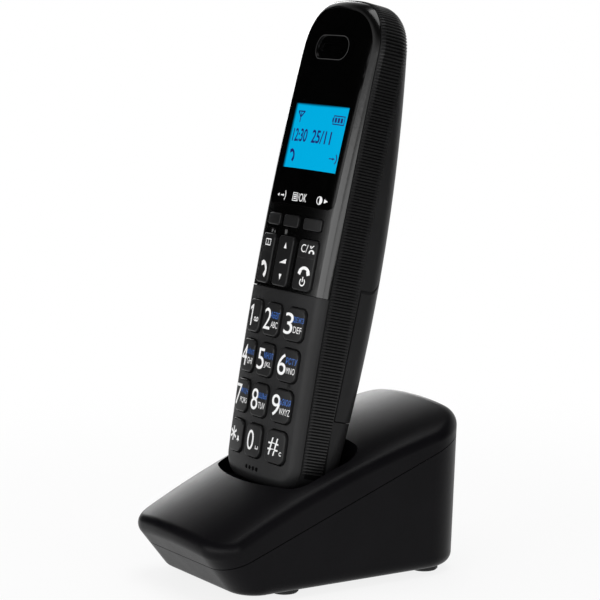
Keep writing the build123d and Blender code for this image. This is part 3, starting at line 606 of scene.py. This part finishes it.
# %% Ribbed grip
LENGTH = 161.2
GRIP_FROM = 5.5
GRIP_TO = 15.7
GRIP_LAST = 16.5
GRIP_BOW = 3000.0
GRIP_MIDDLE = 108.0
RIB_PITCH = 1.0
RIB_FOOT = 0.64
RIB_CREST = 0.34
RIB_HEIGHT = 0.45
RIB_SINK = 0.12
RIB_START = 8.0
RIB_STEPS = 9
TURN_V = LENGTH - 23.0
TURN_RADIUS = 22.5
OUTSIDE = 40.0
carriers = [nodes["side_grip"], nodes["back_shell"]]
rows = int((TURN_V - RIB_START) / RIB_PITCH)
stations = [(RIB_START + k * RIB_PITCH, turn) for k in range(rows) for turn in (0.0, math.pi)]
turns = int(math.pi * TURN_RADIUS / RIB_PITCH)
stations += [(TURN_V, math.pi * k / turns) for k in range(turns + 1)]
rib_points = []
rib_faces = []
ribs = 0
for v, turn in stations:
    inward = (ACROSS * math.cos(turn) + UP * math.sin(turn)) * -1
    sections = []
    bow = (v + TURN_RADIUS * math.sin(turn) - GRIP_MIDDLE) ** 2 / GRIP_BOW
    width = min(GRIP_TO, GRIP_LAST - bow) - GRIP_FROM
    for k in range(RIB_STEPS + 1):
        depth = GRIP_FROM + bow + width * k / RIB_STEPS
        start = handset_point(0, v, depth) - inward * OUTSIDE * MM
        hits = [carrier.ray_cast(start, inward) for carrier in carriers]
        places = [(place, normal) for found, place, normal, face in hits if found]
        if places:
            sections.append(min(places, key=lambda hit: (hit[0] - start).length))
    if len(sections) < 2:
        continue
    ribs += 1
    for k, (place, normal) in enumerate(sections):
        first = len(rib_points)
        along = normal.cross(BACK).normalized()
        for height, half in ((-RIB_SINK, RIB_FOOT / 2), (RIB_HEIGHT, RIB_CREST / 2)):
            rib_points += [place + (normal * height + along * edge) * MM for edge in (-half, half)]
        corners = (first, first + 2, first + 3, first + 1)
        if k in (0, len(sections) - 1):
            rib_faces.append(corners)
        if k:
            rib_faces += [(a - 4, b - 4, b, a) for a, b in zip(corners, corners[1:])]
rib_mesh = bpy.data.meshes.new("grip_ribs")
rib_mesh.from_pydata(rib_points, [], rib_faces)
rib_mesh.materials.append(rib_black.material)
grip_ribs = bpy.data.objects.new("grip_ribs", rib_mesh)
bpy.context.scene.collection.objects.link(grip_ribs)
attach(grip_ribs, "handset")
print("made", ribs, "ribs")

# %% [markdown]
# The studio is a white floor under a white sky. Near the phone the floor is plain pale paint that holds the
# shadow. Further out it fades into clean white for the eye and for mirrors, with Light Path, so that no
# horizon shows. The walls of the studio are white in the same way and its ceiling is dark, which keeps the
# black deck black where it looks up. As a light on other things the sky is even and weak, so that the lamps
# model the shape.

# %% Floor and sky
scene = bpy.context.scene
scene.view_settings.view_transform = "Standard"
FLOOR_HALF = 12.0
floor_mesh = bpy.data.meshes.new("floor")
floor_corners = [(x * FLOOR_HALF, y * FLOOR_HALF, 0) for x, y in ((-1, -1), (1, -1), (1, 1), (-1, 1))]
floor_mesh.from_pydata(floor_corners, [], [(0, 1, 2, 3)])
floor = bpy.data.objects.new("floor", floor_mesh)
scene.collection.objects.link(floor)
FADE_FROM = 0.12
FADE_TO = 0.36
CLEAN = 0.84
floor_pale = Finish("floor_pale", Roughness=0.9, Specular_IOR_Level=0.1)
floor_pale.set(Base_Color=floor_pale.tints(floor_pale.noise(3.0), (0.91, 0.91, 0.91), (0.93, 0.93, 0.93)))
measure = {"operation": "LENGTH"}
from_middle = floor_pale.node("ShaderNodeVectorMath", "Value", measure, Vector=floor_pale.places())
fade = floor_pale.step(from_middle, FADE_FROM, FADE_TO, CLEAN, 1.0)
white = floor_pale.node("ShaderNodeEmission", "Emission", Color=(1, 1, 1, 1))
paint = Wire(floor_pale.tree, floor_pale.shader.outputs["BSDF"])
layers = (fade * floor_pale.seen_directly(), paint, white)
mixed = floor_pale.node("ShaderNodeMixShader", "Shader", in_order=layers)
plug(floor_pale.tree, floor_pale.tree.nodes["Material Output"].inputs["Surface"], mixed)
floor_mesh.materials.append(floor_pale.material)
SKY_FILL = 0.45
CEILING_FROM = 0.26
CEILING_TO = 0.74
CEILING_LEVEL = 0.04
world = bpy.data.worlds.new("studio")
scene.world = world
world.use_nodes = True
sky = world.node_tree.nodes["Background"]
sky.inputs["Color"].default_value = (1, 1, 1, 1)
studio = Network(world.node_tree)
upward = studio.node("ShaderNodeSeparateXYZ", "Z", Vector=studio.places("Generated"))
walls = studio.step(upward, CEILING_FROM, CEILING_TO, 1.0, CEILING_LEVEL)
plug(world.node_tree, sky.inputs["Strength"], SKY_FILL + studio.seen_directly() * (walls - SKY_FILL))
print("floor and sky ready")

# %% [markdown]
# Lamps stay soft and plain. One behind on the left lays the pale sheen on the deck of the base, two wide
# low ones in front and on the right draw the grey line along the rounded edge of the face, and one above
# fills. Dark cards that only mirrors can see stand where the black faces look, as a photographer sets them
# up.

# %% Lamps and cards


def soft_lamp(name, place, aim, size, power):
    """Area lamp of the given width and height that looks at a point."""
    lamp = bpy.data.lights.new(name, "AREA")
    lamp.shape = "RECTANGLE"
    lamp.size, lamp.size_y = size
    lamp.energy = power
    holder = bpy.data.objects.new(name, lamp)
    holder.location = place
    holder.rotation_euler = (Vector(aim) - Vector(place)).to_track_quat("-Z", "Y").to_euler()
    scene.collection.objects.link(holder)


def dark_card(name, turn, distance, half, low, high):
    """Upright black card, turned round the phone by some degrees from its front, seen by mirrors only."""
    out = Vector((math.sin(math.radians(turn)), -math.cos(math.radians(turn)), 0))
    side = Vector((-out.y, out.x, 0)) * half
    corners = [out * distance + side * k + Vector((0, 0, z))
               for k, z in ((-1, low), (1, low), (1, high), (-1, high))]
    mesh = bpy.data.meshes.new(name)
    mesh.from_pydata(corners, [], [(0, 1, 2, 3)])
    mesh.materials.append(card_black.material)
    card = bpy.data.objects.new(name, mesh)
    scene.collection.objects.link(card)
    card.visible_camera = False
    card.visible_diffuse = False
    card.visible_shadow = False
    card.visible_transmission = False


MIDDLE = (0.0, 0.0, 0.09)
soft_lamp("lamp_left_rear", (-1.0, 0.45, 0.30), MIDDLE, (0.6, 0.3), 2.3)
soft_lamp("lamp_front", (0.11, -1.30, 0.30), MIDDLE, (1.7, 0.6), 8.0)
soft_lamp("lamp_right", (1.26, -0.34, 0.14), MIDDLE, (1.7, 0.5), 5.6)
soft_lamp("lamp_top", (0.0, 0.1, 1.4), MIDDLE, (0.9, 0.9), 7.0)
card_black = Finish("card_black", Roughness=1.0, Specular_IOR_Level=0.0)
felt = card_black.noise(5.0)
card_black.set(Base_Color=card_black.tints(felt, (0.001, 0.001, 0.001), (0.002, 0.002, 0.002)))
dark_card("card_left", -62.0, 0.9, 0.55, -0.5, 0.8)
dark_card("card_right", 124.0, 0.36, 0.30, -0.05, 0.40)
print("four lamps and two cards")

# %% [markdown]
# The camera stands where the photograph was taken from: to the right of the front, a little above the
# handset's middle, and with a long lens. It could be set by eye, but the spacing of the keys is known, and
# it gives the place and the lens more closely.

# %% Camera
CAMERA_PLACE = Vector((650.1, -409.0, 202.0)) * MM
CAMERA_AZIMUTH = 57.79
CAMERA_TILT = 8.20
FOCAL_PIXELS = 2360.9
IMAGE_PIXELS = 600
SENSOR = 36.0
lens = bpy.data.cameras.new("camera")
lens.sensor_width = SENSOR
lens.lens = FOCAL_PIXELS * SENSOR / IMAGE_PIXELS
lens.clip_start = 0.01
camera = bpy.data.objects.new("camera", lens)
camera.location = CAMERA_PLACE
camera.rotation_euler = (math.radians(90 - CAMERA_TILT), 0, math.radians(CAMERA_AZIMUTH))
scene.collection.objects.link(camera)
scene.camera = camera
print("camera lens", round(lens.lens, 1), "mm")
